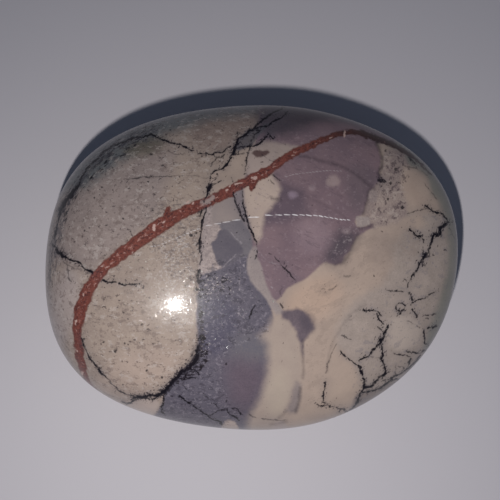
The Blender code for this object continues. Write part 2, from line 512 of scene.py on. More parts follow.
CRACKS = (
    # The crack from the left rim to the vein, and beyond it
    Course(((53, 244), (56, 249.5), (60, 253, 4), (63.5, 256), (67, 258, 2.4), (71, 260), (76, 261.5),
            (80, 264), (84, 268), (88, 271), (92, 272.5)), 2.4),
    Course(((64, 249), (63, 253)), 1.2, 0.6),
    Course(((63, 262), (66, 264), (69, 266), (73, 268.5), (80, 270)), 1.2, 0.6),
    Course(((67.5, 265), (67.5, 271), (69, 277), (71, 281)), 1.6, 0.7),
    Course(((102, 280.5), (107, 281.5), (112, 282.5), (116, 282)), 2.1),
    Course(((119, 283.5), (124, 284.5), (128, 285), (133, 284.5), (139, 284.3)), 2.1),
    Course(((145, 284.3), (149, 284.3)), 1.2, 0.4),
    # The crack along the left and upper rim
    Course(((53.5, 238), (55.7, 233), (56.6, 225), (59.3, 217.6), (61, 209.5, 4.5), (64, 203),
            (67, 199.6), (71.4, 194), (74.6, 189.8, 3.6), (78.6, 183.5, 2.4), (80.4, 179), (84.9, 171.8),
            (91, 164.6), (97.5, 158.3), (102.8, 153), (110, 147.6), (117, 144), (126, 141.3),
            (133.4, 137.7), (141.4, 137.3), (147.7, 135.9), (151.3, 134.6), (157.6, 137.3), (163, 140),
            (169.3, 142.2), (176, 144.5), (181, 144.8), (184.5, 147), (188, 149), (191.5, 150)), 2.2),
    Course(((66, 212), (65, 220)), 1.6, 0.6),
    Course(((168, 150.5), (172, 153), (178, 154), (185, 154)), 1.2, 0.5),
    # The short crack above the vein
    Course(((199, 153.5), (206, 153.7), (212.5, 154.2), (215, 152.5), (220, 152.3), (224, 151.2),
            (227, 148), (230, 146.5)), 1.8),
    Course(((213, 154.5), (216, 157.5), (221, 157.5), (224, 154.5)), 1.4, 0.8),
    Course(((217, 158), (214, 161), (212, 164), (211, 166)), 1.4, 0.8),
    # The main crack from the top rim down to the vein
    Course(((284, 106), (280, 110), (274.6, 112.5), (269.3, 115.2), (264.3, 118.3), (260.3, 122),
            (255.8, 126.4), (249.5, 130.5, 3.2), (246, 134.5), (241.4, 136.7), (237.8, 139),
            (237, 143.5), (234.7, 148, 4), (233, 153.4, 4), (230.7, 157.8, 2.6), (228.9, 162.3),
            (225.3, 166.8), (223.5, 169), (219, 169.5, 2), (216.3, 170), (213.6, 171.3), (210.9, 174.4),
            (210, 178.5)), 2.6),
    Course(((216.8, 174), (216.7, 177.6), (213.6, 179.8)), 1.8),
    Course(((210, 184, 3.4), (209.5, 188.3, 4.4), (208.2, 192, 3), (206.4, 196.4, 1.8), (204, 202))),
    Course(((211, 186), (216, 183), (219, 181.5), (221.5, 181)), 1.4),
    Course(((288, 112), (280, 117.9), (272.9, 122), (267.5, 126), (261.2, 127.3), (256.7, 128.2),
            (250.4, 130.5)), 2.0),
    Course(((259.4, 131), (256.7, 133.6), (253.6, 136.3), (251.3, 140.8), (250.9, 144.4), (249, 150.7),
            (246.8, 159.6), (245.9, 168.6), (244.6, 174)), 1.8, 0.9),
    Course(((272.8, 138), (269.3, 133.6), (266.6, 136.3), (263.9, 139), (259.4, 143.5), (254, 146.6),
            (247.7, 146), (242.3, 146.6), (237, 148)), 2.4),
    Course(((269.3, 133.6), (266, 131), (260, 131), (256, 129.5)), 1.6, 0.9),
    Course(((237, 132.7), (236.5, 138)), 1.6, 0.8),
    Course(((234, 153.8), (238.7, 154.7), (244, 153.3)), 1.4, 0.8),
    Course(((231, 177), (233, 181)), 1.6, 0.8),
    # The same crack below the vein
    Course(((206, 207), (205, 212), (203.5, 218), (202, 225), (201, 232), (200.5, 240, 3.2), (200, 248),
            (199.5, 251, 2), (201, 255), (200.5, 259), (199.5, 265, 1.4)), 2.2),
    Course(((198.5, 271), (198, 276), (197, 280)), 2.0),
    Course(((201.5, 210.5), (199.3, 216.8)), 1.6),
    # The thin crack across the beige clay
    Course(((127, 179.5), (133, 178.5), (141, 177), (148, 177), (152, 176.5, 1.6), (157, 176.5, 1.3),
            (163, 176.5), (172, 176)), 1.5, 0.8),
    Course(((172, 176), (195, 176), (203, 177.5), (208, 177.5)), 1.0, 0.45),
    # The two strands between the slate and the ivory
    Course(((233, 193), (235, 200), (238, 208, 2.4), (241, 214), (244, 221)), 1.6, 0.9),
    Course(((242, 188), (242.5, 197), (243, 204, 2.2), (245, 213), (248, 222), (251, 231), (254, 238),
            (256, 242, 1.5), (257, 250), (257.5, 256), (255, 259.5)), 1.6),
    # The crack along the lower left edge of the slate
    Course(((81, 336), (83, 342), (84, 346), (87, 353), (89.5, 358, 3), (92, 360, 2), (95, 364),
            (100, 371, 3.2), (103, 375, 2), (108, 379, 1.2), (113, 385), (116, 388, 1.8), (122, 392),
            (127, 394.5), (133, 396))),
    Course(((133, 399), (136, 397), (141, 397.5), (146, 396), (152, 395), (157, 395.5), (161, 393, 4.6),
            (165, 390), (169, 386), (173, 381), (177, 377), (181, 372), (185, 370.5), (189, 368),
            (193, 364), (195, 360), (197, 355), (198, 346, 3)), 3.6),
    Course(((122.5, 402), (127, 404), (131, 403), (135, 400)), 2.4),
    Course(((141, 398), (148, 398.5), (152, 400.5), (156, 398)), 2.0),
    Course(((164, 397), (164, 401), (162, 406), (162, 411), (163.5, 413.5)), 2.4),
    Course(((181, 373), (186, 375), (184, 379), (179, 378)), 1.6),
    Course(((185, 372), (190, 370), (197, 371), (199, 374), (197, 377), (190, 378), (184, 380)), 1.6),
    Course(((183, 384), (186, 390)), 1.4),
    # The branched crack near the right rim
    Course(((425, 205.5), (429, 208), (433, 211), (436, 212.5, 2.5), (440, 213, 2), (443, 215.5),
            (446, 219), (447, 222)), 2.2),
    Course(((447, 222.5), (450, 222.8), (453, 221)), 1.4),
    Course(((447, 223), (444, 224.5), (442, 227), (440, 229, 3.6), (440, 231), (439, 234), (436, 235),
            (434, 235.5), (432, 239), (431.5, 242, 2), (430, 246), (429, 250), (428, 252),
            (426, 252.5, 2.6), (425, 255, 4.6), (424, 257, 3), (422, 260), (421, 263, 4),
            (419, 265, 2.6), (418, 268), (417, 269), (415, 273, 1.8), (412, 277), (409, 284, 1.4),
            (408, 287)), 3.2),
    Course(((410, 229.5), (414, 233), (417, 235.5, 3.2), (420, 236), (421.5, 238, 2.2), (424, 240.5)), 2.4),
    Course(((423.5, 248), (422, 255)), 1.2, 0.5),
    Course(((407, 214), (410, 212.5), (416, 211), (421, 210), (425, 209), (428, 209)), 1.2, 0.8),
    Course(((404, 279), (408, 282)), 1.2, 0.8),
    Course(((403, 165), (409, 167.5), (417, 168.5), (423, 172), (427, 175)), 1.4, 0.45),
    Course(((424, 183), (428, 189), (431, 193), (435, 197), (438, 200)), 1.4, 0.45),
    Course(((409, 158), (412, 161), (415, 164)), 2.6, 0.8),
    Course(((449, 228), (452, 233), (455, 238)), 1.4, 0.5),
    # The net of cracks at the lower right
    Course(((363, 310), (368, 311), (374, 309.5), (378, 312), (381, 315)), 2.0),
    Course(((377, 314), (379, 320), (384, 324)), 2.0),
    Course(((378, 327), (383, 331)), 1.7, 0.9),
    Course(((389, 325), (386, 331), (384, 336, 3.5), (381, 341, 5), (379, 345, 3)), 2.2),
    Course(((377, 346), (373, 350), (371, 354), (369, 356.5), (364, 357), (361, 359), (360, 361)), 2.4),
    Course(((381, 345), (383, 350), (383, 356), (381, 359), (384, 364), (386, 371), (384, 375),
            (380, 377), (376, 381), (372, 385), (367, 387), (364, 388)), 2.7),
    Course(((340, 351), (346, 357), (352, 361), (357, 365), (361, 367)), 1.8),
    Course(((360, 368), (362, 374), (364, 380), (364.5, 386), (362, 392)), 2.7),
    Course(((362, 393), (368, 392), (375, 390), (381, 387.5), (386, 384), (391, 380), (395, 379),
            (400, 380.5)), 2.2),
    Course(((384, 380), (390, 379), (395, 375.5), (400, 374), (404, 371), (408, 368), (413, 364),
            (417, 360), (420, 356)), 2.0),
    Course(((360, 394), (358, 400, 3.6), (355, 405, 2), (350, 411)), 2.7),
    Course(((348, 412), (343, 409), (338, 408), (332, 406.5), (326, 404), (323, 402), (323.5, 396),
            (324.5, 388), (324.7, 381)), 2.1),
    Course(((326, 373), (328, 363), (330, 358), (333, 350), (336, 344)), 1.5, 0.5),
    Course(((316, 404), (321, 406.5), (326, 405)), 1.8),
    Course(((339, 413), (340.5, 409)), 1.7),
    Course(((364, 357), (381, 358)), 1.2, 0.5),
    Course(((396.5, 309), (396, 306), (398.5, 303.5), (402.5, 303.5), (405, 306.5), (404, 310),
            (401, 312), (398, 311)), 1.8),
    Course(((400, 313, 3), (397, 317, 1.4)), 3.2),
    Course(((386, 290.5), (391, 291.5), (397, 291), (403, 291.5)), 1.7, 0.9),
    Course(((409, 293), (412, 297), (411.5, 303, 2.4), (417, 300, 1.6), (421, 299), (427, 297),
            (430, 294.5), (435, 291.5)), 2.0),
    Course(((413, 310), (415.5, 314), (416, 317)), 2.4),
    Course(((422, 315.5), (427, 315), (435, 314.3)), 1.7, 0.9),
    Course(((406, 320), (414, 324), (420, 327)), 1.4, 0.55),
    Course(((427, 328), (433, 327), (436, 326)), 2.4),
    Course(((424, 330), (424, 338), (425, 344), (428, 345)), 1.8),
    Course(((406, 351), (409, 352), (415, 353), (420, 352.5), (425, 350)), 2.0),
    Course(((394, 353), (402, 355), (410, 356.5)), 1.6, 0.9),
    Course(((411, 358), (409, 363), (408, 369)), 1.7),
    Course(((395, 367), (395, 375)), 1.5, 0.8),
    Course(((396, 366), (404, 368)), 1.5, 0.8),
    Course(((341, 335), (346, 337), (352, 339.5)), 1.5, 0.7),
    Course(((347, 320.5), (352, 319)), 1.2, 0.5),
    Course(((343, 276), (348, 276.5), (351, 275)), 1.5, 0.4),
    Course(((322, 289), (328, 290), (334, 288), (338, 286)), 1.5, 0.4),
    # Dark lines in the purple clay and beside it
    Course(((269, 253), (275, 258, 1.2), (281, 264, 1.8), (287, 271, 2.2), (292, 277, 1.4),
            (296, 280)), 1.0, 0.9),
    Course(((281, 296), (279, 291), (284, 287)), 1.4, 0.5),
    Course(((380, 180), (384, 181)), 4.0, 0.75),
    Course(((381, 186), (381, 187)), 2.6, 0.7),
    Course(((272, 175), (278, 179), (281, 180)), 1.6, 0.7),
    Course(((270, 180), (274, 184)), 1.4, 0.6),
    Course(((262, 155), (268, 159), (275, 163)), 1.0, 0.6),
    Course(((255, 305), (251, 313), (249, 318)), 1.8, 0.9),
    Course(((280, 303), (283, 308)), 1.8, 0.8),
    # The bottom edge
    Course(((180, 396), (186, 401), (192, 405), (199, 409.5), (205, 414), (212, 419), (219, 421),
            (222, 424)), 2.2),
    Course(((203, 394), (209, 399)), 1.4, 0.9),
    Course(((214, 403), (219, 409)), 1.4, 0.9),
    Course(((210, 415.5), (216, 412), (222, 410), (227, 409)), 1.6, 0.9),
    Course(((226, 409), (230, 415), (237, 417), (239, 420)), 1.6),
    Course(((231, 408.5), (236, 408), (240, 412), (241, 414)), 1.6),
    Course(((249, 414), (253, 417), (258, 418.5), (265, 419.5), (273, 419.7), (285, 420.5)), 1.3, 0.6),
    # The faint line at the lower left
    Course(((61, 336), (65, 343), (69, 352)), 1.2, 0.4),
)

# Soft dark lines, which have no sharp crack in them
SHADES = (
    Course(((48.5, 290), (48.5, 275), (50, 262), (52, 245)), 3.0, 0.4),
    Course(((80, 184), (86, 176), (93, 168), (101, 161), (110, 154)), 6.0, 0.35),
    Course(((300, 156), (312, 158), (322, 161), (330, 163), (338, 165), (345, 168), (352, 172),
            (358, 176), (364, 181), (370, 186), (374, 189)), 3.2, 0.42),
    Course(((276, 180), (290, 188), (305, 196), (322, 204), (340, 213), (348, 222)), 1.6, 0.22),
    Course(((377, 143), (380, 150), (382, 157), (382, 165), (379, 172), (380, 180)), 3.6, 0.7),
    Course(((372, 186), (368, 192), (367, 200), (365, 207), (363, 214)), 2.6, 0.5),
    Course(((358, 229), (366, 227.5), (372, 225.5)), 3.0, 0.5),
    Course(((358, 234), (353, 244), (349, 253), (344, 262), (335, 264)), 3.0, 0.35),
    Course(((272, 198.5), (281, 199.5)), 2.8, 0.45),
    Course(((302.5, 340), (302.5, 355), (303, 362), (304, 372), (303, 378)), 2.4, 0.4),
    Course(((366, 304), (352, 313), (342, 326), (334, 340), (329, 352), (327, 372)), 1.8, 0.25),
    Course(((193, 352), (192, 362), (186, 368)), 5.0, 0.6),
    Course(((300, 388), (299, 402), (296, 411)), 3.4, 0.45),
    Course(((279, 417), (283, 415), (286, 411)), 2.6, 0.35),
    Course(((270, 424.5), (278, 423.5), (286, 421.5)), 2.6, 0.4),
    Course(((196.5, 275), (196, 290), (198, 305), (201, 320), (202, 340), (200, 355)), 3.0, 0.55),
)

# Black dots, each with its place and width
DOT_SPOTS = (
    (129, 148, 2.5), (128, 159.5, 2), (151, 154, 2), (106, 161, 4.5), (103, 170, 2), (106, 174.5, 2),
    (112, 168, 2), (91, 177, 2.4), (130, 166, 2), (163, 166, 2.6), (170, 130.5, 2), (163, 125, 2),
    (101, 187, 2.2), (88, 190.5, 2), (94, 198, 2), (148, 182, 2), (152, 210, 3.4), (122, 210, 2),
    (123, 218, 2), (106, 225, 2), (63, 230.5, 2), (84.6, 231, 2), (131, 232, 2), (93.5, 326, 2),
    (116, 350, 4.5), (121.5, 362, 2.6), (104, 342, 2.2), (101, 344, 2), (124.5, 343.5, 2.2),
    (128.5, 345, 2), (139, 342, 2), (153, 344, 2.2), (84.5, 339, 2.4), (147, 371, 3), (161.5, 377.5, 2.4),
    (158, 385, 2), (123, 385, 2), (185.5, 361, 2.2), (95, 313, 2), (128, 319.5, 2), (142, 325, 2),
    (137, 279.5, 2), (191, 235, 3), (196, 233, 2.4), (202, 156.5, 2), (172, 396, 2.4), (402.5, 207.5, 4.4),
    (445, 250.5, 2), (433.5, 255, 2), (438, 245.5, 1.8), (227, 280, 3.6), (239, 279, 2.2),
    (229, 294, 2.6), (226, 364, 2.6), (226, 401.5, 2), (383, 327, 2.4), (427, 318, 2), (262, 161.5, 2.6),
    (385.5, 151, 3), (395, 168.5, 3.4), (390.5, 183.5, 3), (399, 182.5, 2.6), (388, 199, 3),
    (342.5, 132, 3), (285, 144.5, 1.8), (374, 276, 2), (382, 232, 2),
)
DOT_INK = 0.85
DOTS = tuple(Course(((across, down),), width, DOT_INK) for across, down, width in DOT_SPOTS)

VEIN = Course(
    ((99, 393, 2), (92, 387, 3), (87, 381, 5), (84, 373, 6), (82, 366, 7.5), (80, 358, 8), (79, 349, 9.5),
     (78, 340, 7.5), (77, 328, 9.5), (79, 318, 12), (81, 308, 12), (85, 298, 12.5), (88, 290, 12),
     (92, 283, 12), (98, 275, 11), (106, 266, 10.5), (115, 259, 11), (125, 251, 12), (135, 244, 13),
     (146, 236, 14), (156, 229, 15), (168, 221, 13), (180, 213.5, 12), (190, 209, 11), (200, 205, 11),
     (212, 200, 10), (220, 196.5, 10), (230, 190.5, 11), (240, 184.5, 9), (250, 180, 10),
     (260, 174.5, 9.5), (268, 171, 9), (273, 167, 8), (280, 162, 8), (287, 157, 8), (295, 152.5, 8),
     (300, 150, 7.5), (310, 146, 7), (320, 140.5, 6.5), (330, 137, 5.5), (340, 133.5, 5),
     (352, 131.5, 5), (360, 133, 6), (370, 136, 6.5), (380, 140, 6), (390, 143.5, 5.5), (400, 148, 5),
     (412, 156, 4), (420, 163, 2), (432, 176, 1)),
)
VEIN_LOBES = (
    Course(((166, 217, 7), (168.5, 210, 6))),
    Course(((252, 182, 13), (252.5, 186, 8), (252, 190, 3))),
    Course(((228, 194, 6), (233, 196, 2))),
)
# The pale rock inside the vein
VEIN_ISLAND = (
    Course(((203.5, 203, 6), (208, 200.5, 7), (212.5, 198, 6)), ink=0.9),
)

# Pale flecks in the vein and at its edge
FLECKS = (
    Course(((155, 226), (154.5, 230)), 3.6),
    Course(((163.5, 222.5), (165, 221)), 1.8),
    Course(((192.5, 204), (194, 203)), 2.4),
    Course(((226, 190.5), (228, 189.5)), 2.4),
    Course(((229, 186.5), (230, 186)), 1.8),
    Course(((235, 184), (241, 182.5)), 2.2),
    Course(((252, 179), (256, 178)), 3.8),
    Course(((261, 175), (263, 174)), 1.8),
    Course(((292, 156), (294, 155.5)), 1.5, 0.7),
    Course(((315, 144.3), (317, 143.6)), 1.5, 0.7),
    Course(((330, 137.5), (332, 136.8)), 1.8, 0.8),
    Course(((344, 131.5), (344.5, 135.5)), 2.2),
    Course(((132, 252.5), (133, 251.5)), 1.6, 0.8),
    Course(((101, 266.5), (103, 265.5)), 1.8, 0.8),
    Course(((106, 267.5), (108, 266.5)), 1.6, 0.8),
    Course(((84, 294), (84, 296)), 1.8, 0.8),
    Course(((76, 321), (76, 325)), 2.4),
    Course(((75.5, 349), (76.5, 351)), 2.2),
    Course(((82, 372), (82, 374)), 2.2),
    Course(((186, 203), (189, 201)), 2.2, 0.8),
)

PALE_LINES = (
    Course(((222, 268), (228, 262), (232, 258), (237, 254)), 1.4, 0.6),
    Course(((240, 258), (240, 264)), 1.2, 0.6),
    Course(((240, 267), (240, 274)), 1.2, 0.7),
    Course(((239.5, 277), (239, 290)), 1.2, 0.6),
    Course(((230, 232), (236, 238), (241, 243)), 1.3, 0.5),
    Course(((243.5, 265.5), (244, 266.5)), 2.0, 0.7),
    Course(((239, 313.5), (241, 316), (242.5, 317)), 1.8, 0.6),
    Course(((256, 250), (262, 256), (268, 262), (278, 264)), 1.4, 0.35),
    Course(((271, 287), (272, 288)), 2.2, 0.5),
)

# Fine scratches, with their glint painted in as near-white dashes: painted highlight
GLINTING_SCRATCHES = (
    GlintingScratch(((150, 246.5), (157, 246), (162, 244), (166, 242.7), (171, 240), (180, 236.5), (186, 234),
             (193, 231), (200, 228.5)), 3.6, 3.6, 0.9, 0.6),
    GlintingScratch(((206, 226), (213, 224.5), (218, 223.5), (226, 222.3), (233, 220.5), (241, 219.3)),
            8.0, 11.0, 0.9, 0.7),
    GlintingScratch(((248, 217.4), (261, 217)), 14.0, 14.0, 1.2, 0.9, 0.1),
    GlintingScratch(((265, 215.3), (274, 215), (280, 215), (288, 214.4), (296, 215.2), (303, 214.6), (310, 215.6),
             (316, 215.2), (322, 216.5), (330, 217.6), (337, 218.9), (343, 219.8), (348, 219.8)),
            9.5, 3.5, 1.15, 0.9),
    GlintingScratch(((285, 177), (293, 174.5), (305, 173), (320, 171.3), (328, 170.5), (340, 171)),
            3.4, 3.4, 0.7, 0.3),
)
GLINT_DASHES = tuple(dash for scratch_glint in GLINTING_SCRATCHES for dash in scratch_glint.dashes())

RIM_AREA = (
    (44, 300), (44, 255), (54, 212), (70, 182), (92, 155), (120, 132), (150, 118), (168, 118), (158, 140),
    (138, 150), (118, 166), (98, 180), (82, 194), (70, 222), (62, 250), (52, 300),
)
SLATE_AREA = (
    (198, 262), (248, 250), (250, 281), (272, 315), (272, 336), (252, 343), (235, 350), (228, 362),
    (226, 384), (232, 402), (243, 414), (240, 470), (120, 470), (165, 392), (196, 360), (198, 300),
)
GRIT_AREA = (
    (197, 268), (222, 270), (236, 268), (238, 296), (214, 300), (208, 312), (210, 340), (212, 362),
    (192, 366), (196, 340), (199, 318), (194, 292),
)
EDGE_AREA = (
    (195, 268), (203, 268), (205, 290), (202, 300), (205, 318), (204, 332), (210, 345), (209, 362),
    (198, 376), (176, 386), (166, 398), (150, 402), (158, 393), (180, 369), (194, 356), (196, 330),
    (198, 305), (194, 290),
)
CLAY_AREA = ((378, 188), (382, 150), (404, 152), (412, 168), (406, 215), (384, 228), (366, 222))
PURPLE_AREA = (
    (264, 130), (378, 128), (378, 190), (360, 220), (340, 262), (300, 280), (276, 298), (258, 270),
    (250, 215),
)
CREAM_AREA = (
    (352, 240), (372, 230), (398, 222), (424, 222), (420, 262), (392, 284), (352, 300), (334, 330),
    (326, 400), (304, 408), (300, 344), (316, 328), (292, 306), (300, 284), (330, 266),
)
END_AREA = ((338, 224), (374, 223), (358, 238), (348, 256), (332, 262), (334, 240))
NET_AREA = (
    (350, 345), (362, 308), (385, 290), (410, 205), (440, 205), (470, 230), (470, 400), (345, 430),
)
GRAIN_AND_GLITTER_AREA = ((150, 226), (176, 222), (200, 214), (204, 260), (199, 355), (176, 352), (150, 320))
DARK_AREA = ((130, 200), (176, 190), (200, 204), (204, 260), (199, 290), (170, 280), (140, 250))

SPRINKLES = (
    Sprinkle("beige_brown_grains", BEIGE_AREA, Grains("#6f615d", (0.9, 0.7), 0.17, strength=0.5)),
    Sprinkle("beige_pale_grains", BEIGE_AREA, Grains("#c6bcb7", (0.8, 0.6), 0.14, strength=0.35)),
    Sprinkle("beige_black_grains", BEIGE_AREA, Grains("#3d3335", (0.5, 0.42), 0.045, strength=0.8)),
    # Pale grains, together with painted glitter of the halo round the flash highlight
    Sprinkle("pale_grains_and_painted_glitter", GRAIN_AND_GLITTER_AREA, Grains("#cfcaca", (0.26, 0.22), 0.22, strength=0.4), 20.0),
    Sprinkle("dark_granules", DARK_AREA, Grains("#6d6463", (0.36, 0.3), 0.24, strength=0.6), 12.0),
    Sprinkle("rim_streaks", RIM_AREA, Grains("#211f25", (0.8, 0.35), 0.28, 48.0, 0.85), 8.0),
    Sprinkle("rim_smudges", RIM_AREA, Grains("#4a4a52", (1.5, 0.8), 0.35, 48.0, 0.5), 8.0),
    Sprinkle("slate_dark_grains", SLATE_AREA, Grains("#3b3741", (0.7, 0.5), 0.20, strength=0.5)),
    Sprinkle("slate_pale_grains", SLATE_AREA, Grains("#9d96a0", (0.4, 0.32), 0.15, strength=0.35)),
    Sprinkle("coarse_black_grains", GRIT_AREA, Grains("#1e1a20", (0.42, 0.3), 0.22, strength=0.85), 8.0),
    Sprinkle("edge_pepper", EDGE_AREA, Grains("#1b1418", (0.5, 0.36), 0.45, strength=0.95), 3.0),
    Sprinkle("coarse_pale_grains", GRIT_AREA, Grains("#c0b5b5", (0.34, 0.26), 0.2, strength=0.65), 13.0),
    Sprinkle("clay_dark_grains", CLAY_AREA, Grains("#4f4247", (0.9, 0.6), 0.2, 60.0, 0.65)),
    Sprinkle("clay_pale_grains", CLAY_AREA, Grains("#c2b3aa", (0.8, 0.6), 0.18, strength=0.5)),
    Sprinkle("purple_pale_grains", PURPLE_AREA, Grains("#a5949a", (0.5, 0.4), 0.12, strength=0.25)),
    Sprinkle("purple_dark_grains", PURPLE_AREA, Grains("#5a4d56", (1.2, 0.5), 0.1, -25.0, 0.3)),
    Sprinkle("cream_smudges", CREAM_AREA, Grains("#94847b", (2.2, 1.3), 0.3, 25.0, 0.3), 8.0),
    Sprinkle("cream_grains", CREAM_AREA, Grains("#8a7b74", (0.6, 0.4), 0.1, 25.0, 0.3), 8.0),
    Sprinkle("end_pale_grains", END_AREA, Grains("#a59a9c", (0.5, 0.4), 0.13, 20.0, 0.4), 3.0),
    Sprinkle("net_smudges", NET_AREA, Grains("#77727a", (1.1, 0.7), 0.14, strength=0.35), 10.0),
)


@dataclass(frozen=True)
class PhotoCamera:
    """The phone's camera, above the stone and a little to its left. Places are in millimetres."""

    place: Point = (-8.0, 0.8, 100.0)
    target: Point = (0.1, 1.95, 0.0)
    focal_px: float = 839.6
    sensor_mm: float = 36.0
    nearest: float = 1.0
    farthest: float = 5000.0

    def pixels(self, points: np.ndarray) -> np.ndarray:
        """Trace points of the stone into the photograph.

        Args:
            points: Places in millimetres, one a row.

        Returns:
            Pixels across and down, one place a row.
        """
        right, up, away = [np.array(axis) for axis in facing(self.place, self.target)]
        gaps = points - np.array(self.place)
        depth = gaps @ away
        half = FRAME_PX / 2.0
        across = half + self.focal_px * (gaps @ right) / depth
        down = half - self.focal_px * (gaps @ up) / depth
        return np.stack([across, down], axis=1)

    def build(self) -> bpy.types.Object:
        """Make the camera and give it to the scene.

        Returns:
            The camera's object.
        """
        data = bpy.data.cameras.new("photo_camera")
        data.sensor_width = self.sensor_mm
        data.lens = self.focal_px / FRAME_PX * self.sensor_mm
        data.clip_start = self.nearest * MM
        data.clip_end = self.farthest * MM
        camera = bpy.data.objects.new("photo_camera", data)
        stand(camera, self.place, self.target)
        bpy.context.scene.camera = camera
        return camera


@dataclass(frozen=True)
class Flash:
    """The lamp beside the lens: small, so it gives one tight highlight and a close, soft-edged shadow."""

    offset: Point = (-6.5, -20.4, 0.0)
    aim: Point = (20.0, -70.0, 0.0)
    width: float = 2.4
    height: float = 8.5
    watts: float = 0.084
    tint: str = "#fffbf7"

    def build(self, camera: PhotoCamera) -> bpy.types.Object:
        """Make the lamp, with its beam aimed at the near side of the table.

        Args:
            camera: The camera that it sits beside.

        Returns:
            The lamp's object.
        """
        data = bpy.data.lights.new("flash", "AREA")
        data.shape = "ELLIPSE"
        data.size = self.width * MM
        data.size_y = self.height * MM
        data.energy = self.watts
        data.color = linear(self.tint)[:3]
        lamp = bpy.data.objects.new("flash", data)
        lamp.visible_camera = False
        place = Vector(camera.place) + Vector(self.offset)
        stand(lamp, tuple(place), self.aim)
        return lamp


@dataclass(frozen=True)
class Room:
    """The dim room: an even, faintly blue light from all round, which fills the shadow."""

    tint: str = "#adbcd7"
    strength: float = 0.165

    def build(self) -> bpy.types.World:
        """Make the world and give it to the scene.

        Returns:
            The world.
        """
        world = bpy.data.worlds.new("room")
        world.use_nodes = True
        sky = world.node_tree.nodes["Background"]
        sky.inputs["Color"].default_value = linear(self.tint)
        sky.inputs["Strength"].default_value = self.strength
        bpy.context.scene.world = world
        return world


@dataclass(frozen=True)
class PaleTable:
    """The plain pale surface under the stone: painted board, matt, with hardly any grain."""

    width: float = 3000.0
    colour: str = "#c3c0c7"
    roughness: float = 0.6

    def build(self) -> bpy.types.Object:
        """Make the surface at the height that the stone rests on.

        Returns:
            The surface's object.
        """
        form = bmesh.new()
        bmesh.ops.create_grid(form, x_segments=1, y_segments=1, size=self.width * MM / 2.0)
        mesh = bpy.data.meshes.new("pale_table")
        form.to_mesh(mesh)
        form.free()
        material = bpy.data.materials.new("painted_board")
        material.use_nodes = True
        shader = material.node_tree.nodes["Principled BSDF"]
        shader.inputs["Base Color"].default_value = linear(self.colour)
        shader.inputs["Roughness"].default_value = self.roughness
        mesh.materials.append(material)
        table = bpy.data.objects.new("pale_table", mesh)
        bpy.context.scene.collection.objects.link(table)
        return table


@dataclass(frozen=True)
class PebbleForm:
    """The stone's form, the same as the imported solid's but finer. Sizes are in millimetres."""

    length: float = 45.0
    width: float = 35.3
    crown_rise: float = 10.0
    belly_drop: float = 8.5
    flat_depth: float = 0.25
    crown_fullness: float = 2.15
    belly_fullness: float = 2.1
    crown_lean: Point = (-6.5, -1.0)
    lean_ease: float = 2.4
    girth_fullness: float = 1.019
    girth_lobes: Route = (
        (2, 0.0170, 65),
        (3, 0.0085, 85),
        (4, 0.0195, 155),
        (5, 0.0075, 15),
        (6, 0.0080, 175),
        (8, 0.0025, 190),
    )
    cells: tuple[int, int, int] = (156, 122, 96)
    flat_blend: float = 0.06

    def directions(self) -> tuple[bmesh.types.BMesh, np.ndarray]:
        """Cut a cube into a grid, and turn its points to directions with cells of about one size.

        Returns:
            The cut cube and its directions, one a row.
        """
        form = bmesh.new()
        bmesh.ops.create_cube(form, size=2.0)
        for axis, count in enumerate(self.cells):
            along = [edge for edge in form.edges if edge.verts[0].co[axis] != edge.verts[1].co[axis]]
            bmesh.ops.subdivide_edges(form, edges=along, cuts=count - 1)
        sides = np.array([vert.co for vert in form.verts], dtype=np.float64)
        evened = np.tan(sides * pi / 4.0)
        return form, evened / np.linalg.norm(evened, axis=1, keepdims=True)

    def surface(self, directions: np.ndarray) -> np.ndarray:
        """Work out the stone's surface in each direction from the middle of its girth.

        Args:
            directions: Directions of length one, one a row.

        Returns:
            Places in millimetres, with the girth at height zero.
        """
        x, y, z = directions.T
        angle = np.arctan2(y, x)
        ellipse = 1.0 / np.hypot(2.0 * np.cos(angle) / self.length, 2.0 * np.sin(angle) / self.width)
        lobes = sum(
            share * np.cos(count * angle - radians(turn)) for count, share, turn in self.girth_lobes
        )
        slope = np.arctan2(np.abs(z), np.hypot(x, y))
        crown = z >= 0.0
        power = 2.0 / np.where(crown, self.crown_fullness, self.belly_fullness)
        radius = ellipse * (self.girth_fullness + lobes) * np.cos(slope) ** power
        upward = np.sin(slope) ** power
        lean = np.where(crown, upward**self.lean_ease, 0.0)
        height = np.where(crown, self.crown_rise, -self.belly_drop) * upward
        spot = self.flat_depth - self.belly_drop
        over = np.hypot(height - spot, self.flat_blend)
        height = spot + 0.5 * (height - spot + over)
        across = radius * np.cos(angle) + self.crown_lean[0] * lean
        back = radius * np.sin(angle) + self.crown_lean[1] * lean
        return np.stack([across, back, height], axis=1)

    def build(self, low: Vector, high: Vector) -> tuple[bpy.types.Mesh, np.ndarray]:
        """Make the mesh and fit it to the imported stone's box.

        Args:
            low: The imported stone's lowest corner, in metres.
            high: Its highest corner.

        Returns:
            The mesh, in metres, and its points in millimetres.
        """
        form, directions = self.directions()
        points = self.surface(directions)
        start, end = points.min(axis=0), points.max(axis=0)
        low_mm, high_mm = np.array(low) / MM, np.array(high) / MM
        points = low_mm + (points - start) * (high_mm - low_mm) / (end - start)
        bmesh.ops.recalc_face_normals(form, faces=form.faces[:])
        mesh = bpy.data.meshes.new("jasper_stone")
        form.to_mesh(mesh)
        form.free()
        mesh.vertices.foreach_set("co", (points * MM).astype(np.float32).ravel())
        mesh.update()
        mesh.shade_smooth()
        return mesh, points


